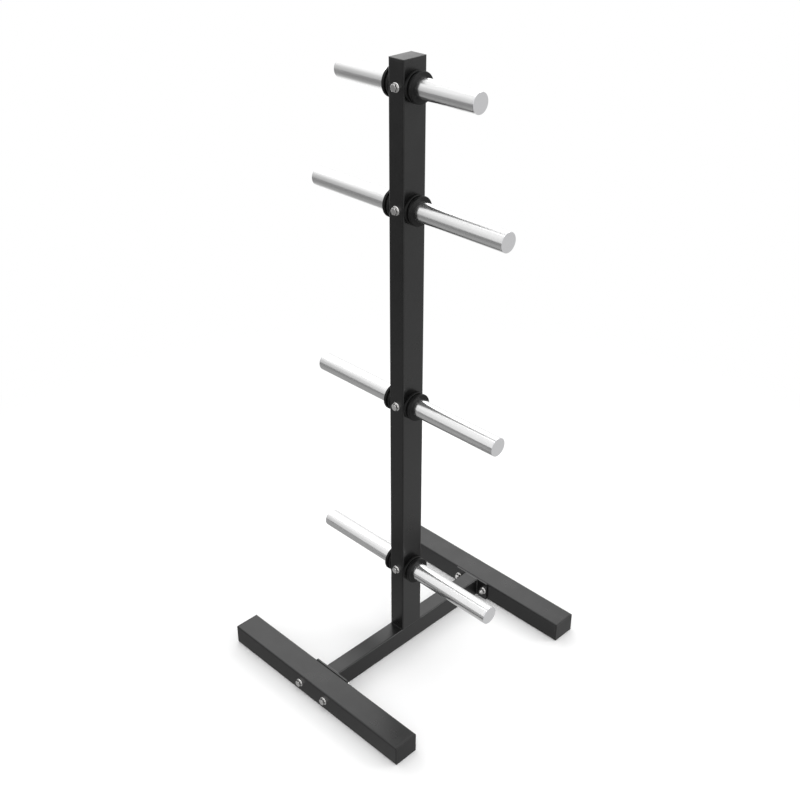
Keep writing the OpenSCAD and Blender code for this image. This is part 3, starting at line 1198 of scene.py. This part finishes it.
@dataclass
class Studio:
    """Pale floor, white background, a card and a screen for reflections, and soft lamps."""

    sheet_steps: int = 96
    sheet_ring: float = 0.7
    floor_r: float = 9.0
    floor_grey: float = 0.97
    floor_fade: Point = (0.45, 1.3)
    fill: float = 0.74
    card_height: float = 0.5 * MM
    card_dark: float = 0.24
    card_middle: float = 0.36
    card_pale: float = 0.65
    card_front: Point = (-2.6, -0.9)
    card_back: Point = (-0.3, 0.3)
    card_white: Point = (0.8, 1.6)
    shadow: float = 0.68
    shadow_place: Corner = (0.1, 0.165, 0.0)
    shadow_spread: Corner = (0.13, 0.04, 1.0)
    shadow_fade: Point = (0.6, 1.1)
    screen_dark: float = 0.42
    screen_place: Corner = (-6.1, -5.1, -0.1)
    screen_spread: Corner = (2.65, 2.65, 5.8)
    lamps: tuple[Lamp, ...] = (
        Lamp("overhead", (0.3, -0.2, 3.2), (0.0, 0.0, 0.0), (3.0, 3.0), 1.2),
        Lamp("long_left", (-1.95, 0.87, 2.12), (0.0, 0.0, 0.5), (3.6, 1.3), 1.45),
        Lamp("behind_right", (1.5, 1.6, 1.6), (0.0, 0.0, 0.3), (0.9, 0.9), 4.0),
    )

    def build(self) -> None:
        """Lays the floor and the card, stands the screen in front on the left and hangs the rest."""
        self.lay_floor()
        card = self.sheet("reflection_card", self.floor_r, (0.0, 0.0, self.card_height))
        self.glow(card, self.card_tone)
        x, y, _ = self.screen_place
        screen = self.sheet("reflection_screen", self.screen_spread[2], self.screen_place, (-x, -y, 0.0))
        self.glow(screen, self.screen_tone)
        self.hang_background()
        for lamp in self.lamps:
            lamp.hang()

    def sheet(self, name: str, radius: float, centre: Corner, facing: Corner = (0.0, 0.0, 1.0)) -> Thing:
        """Adds a round sheet, cut into rings so that it isn't one big face.

        Args:
            name: the sheet's name.
            radius: its radius.
            centre: its middle.
            facing: where it faces.

        Returns:
            The sheet.
        """
        Bench.clear()
        bpy.ops.mesh.primitive_circle_add(vertices=self.sheet_steps, radius=radius, fill_type="NGON")
        sheet = bpy.context.object
        sheet.name = name
        Bench.pick(sheet, "FACE", lambda face: True)
        bpy.ops.mesh.inset(thickness=radius * self.sheet_ring)
        bpy.ops.object.mode_set(mode="OBJECT")
        Bench.place(sheet, Matrix.Translation(centre) @ turn_to(facing))
        return sheet

    def glow(self, sheet: Thing, tone: Callable[[Graph, Socket], Socket]) -> None:
        """Makes a sheet glow for reflections only.

        Args:
            sheet: the sheet.
            tone: makes its brightness from its Object coordinates.
        """
        made = bpy.data.materials.new(sheet.name)
        graph = emptied(made)
        inputs = {"Color": grey(1.0), "Strength": tone(graph, graph.place())}
        glow = graph.add("ShaderNodeEmission", inputs).outputs[0]
        graph.add("ShaderNodeOutputMaterial", {"Surface": glow})
        sheet.data.materials.append(made)
        for ray in ("camera", "diffuse", "transmission", "shadow"):
            setattr(sheet, f"visible_{ray}", False)

    def card_tone(self, graph: Graph, place: Socket) -> Socket:
        """Paints the card for bright metal and gloss to reflect.

        It is grey in front on the left, paler behind on the right, white far behind on the left, and darker
        beside the rear foot, where the floor is in shadow.

        Args:
            graph: the graph of the card's nodes.
            place: the place on the card.

        Returns:
            The card's brightness there.
        """
        right = graph.measure("DOT_PRODUCT", place, (1, 1, 0))
        left = graph.measure("DOT_PRODUCT", place, (-1, 1, 0))
        beside = graph.vector("DIVIDE", graph.vector("SUBTRACT", place, self.shadow_place), self.shadow_spread)
        front = graph.ramp(right, *self.card_front, self.card_dark, self.card_middle)
        back = graph.ramp(right, *self.card_back, 0.0, self.card_pale - self.card_middle)
        shadow = graph.ramp(graph.measure("LENGTH", beside), *self.shadow_fade, self.shadow, 1.0)
        tone = graph.math("MULTIPLY", graph.math("ADD", front, back), shadow)
        missing = graph.math("SUBTRACT", 1.0, tone)
        return graph.math("ADD", tone, graph.math("MULTIPLY", graph.ramp(left, *self.card_white), missing))

    def screen_tone(self, graph: Graph, place: Socket) -> Socket:
        """Paints the screen grey in its middle, and white outwards, sooner sideways than upwards.

        Args:
            graph: the graph of the screen's nodes.
            place: the place on the screen.

        Returns:
            The screen's brightness there.
        """
        away = graph.vector("DIVIDE", graph.vector("SUBTRACT", place, self.screen_place), self.screen_spread)
        share = graph.math("MINIMUM", graph.measure("DOT_PRODUCT", away, away), 1.0)
        return graph.math("MULTIPLY_ADD", share, 1 - self.screen_dark, self.screen_dark)

    def seen(self, graph: Graph) -> Socket:
        """Tells what is seen from what lights the object.

        Args:
            graph: the graph of a material or the world.

        Returns:
            1 for what the camera, a reflection or glass sees directly, and 0 for light.
        """
        path = graph.add("ShaderNodeLightPath").outputs
        either = graph.math("MAXIMUM", path["Is Camera Ray"], path["Is Glossy Ray"])
        return graph.math("MAXIMUM", either, path["Is Transmission Ray"])

    def lay_floor(self) -> None:
        """Lays the pale floor, which turns into the white background away from the object."""
        floor = self.sheet("studio_floor", self.floor_r, (0.0, 0.0, 0.0))
        made = bpy.data.materials.new("studio_floor")
        graph = emptied(made)
        far = graph.ramp(graph.measure("LENGTH", graph.place()), *self.floor_fade)
        pale = graph.add("ShaderNodeBsdfDiffuse", {"Color": grey(self.floor_grey)}).outputs[0]
        white = graph.add("ShaderNodeEmission", {"Color": grey(1.0), "Strength": 1.0}).outputs[0]
        share = graph.math("MULTIPLY", self.seen(graph), far)
        mixed = graph.add("ShaderNodeMixShader", {0: share, 1: pale, 2: white}).outputs[0]
        graph.add("ShaderNodeOutputMaterial", {"Surface": mixed})
        floor.data.materials.append(made)

    def hang_background(self) -> None:
        """Sets the world: white where it is seen, and a soft fill as light."""
        world = bpy.data.worlds.new("studio_white")
        bpy.context.scene.world = world
        graph = emptied(world)
        fill = graph.add("ShaderNodeBackground", {"Color": grey(1.0), "Strength": self.fill}).outputs[0]
        white = graph.add("ShaderNodeBackground", {"Color": grey(1.0), "Strength": 1.0}).outputs[0]
        mixed = graph.add("ShaderNodeMixShader", {0: self.seen(graph), 1: fill, 2: white}).outputs[0]
        graph.add("ShaderNodeOutputWorld", {"Surface": mixed})


@dataclass
class Viewpoint:
    """The photograph's camera."""

    azimuth: float = math.radians(45.0)
    elevation: float = math.radians(30.25)
    distance: float = 1.7805
    lens: float = 50.70
    sensor: float = 36.0
    target: Corner = (-0.0072, -0.0072, 0.4900)

    def build(self) -> None:
        """Adds the camera and makes it the scene's."""
        level = math.cos(self.elevation)
        back = Vector((math.sin(self.azimuth) * level, -math.cos(self.azimuth) * level, math.sin(self.elevation)))
        data = bpy.data.cameras.new("photo_camera")
        data.lens = self.lens
        data.sensor_width = self.sensor
        data.sensor_fit = "HORIZONTAL"
        camera = bpy.data.objects.new("photo_camera", data)
        bpy.context.scene.collection.objects.link(camera)
        camera.location = Vector(self.target) + back * self.distance
        camera.rotation_euler = back.to_track_quat("Z", "Y").to_euler()
        bpy.context.scene.camera = camera


def main() -> None:
    """Builds and dresses the plate tree, then its studio and camera."""
    logging.basicConfig(level=logging.INFO, format="%(name)s: %(message)s")
    bpy.context.scene.view_settings.view_transform = "Standard"
    Viewpoint().build()
    for assembly in (Base(), Upright()):
        assembly.dress()
        assembly.build()
    for level in LEVELS:
        PegLevel(level).build()
    Hardware().build()
    Studio().build()


if __name__ == "__main__":
    main()
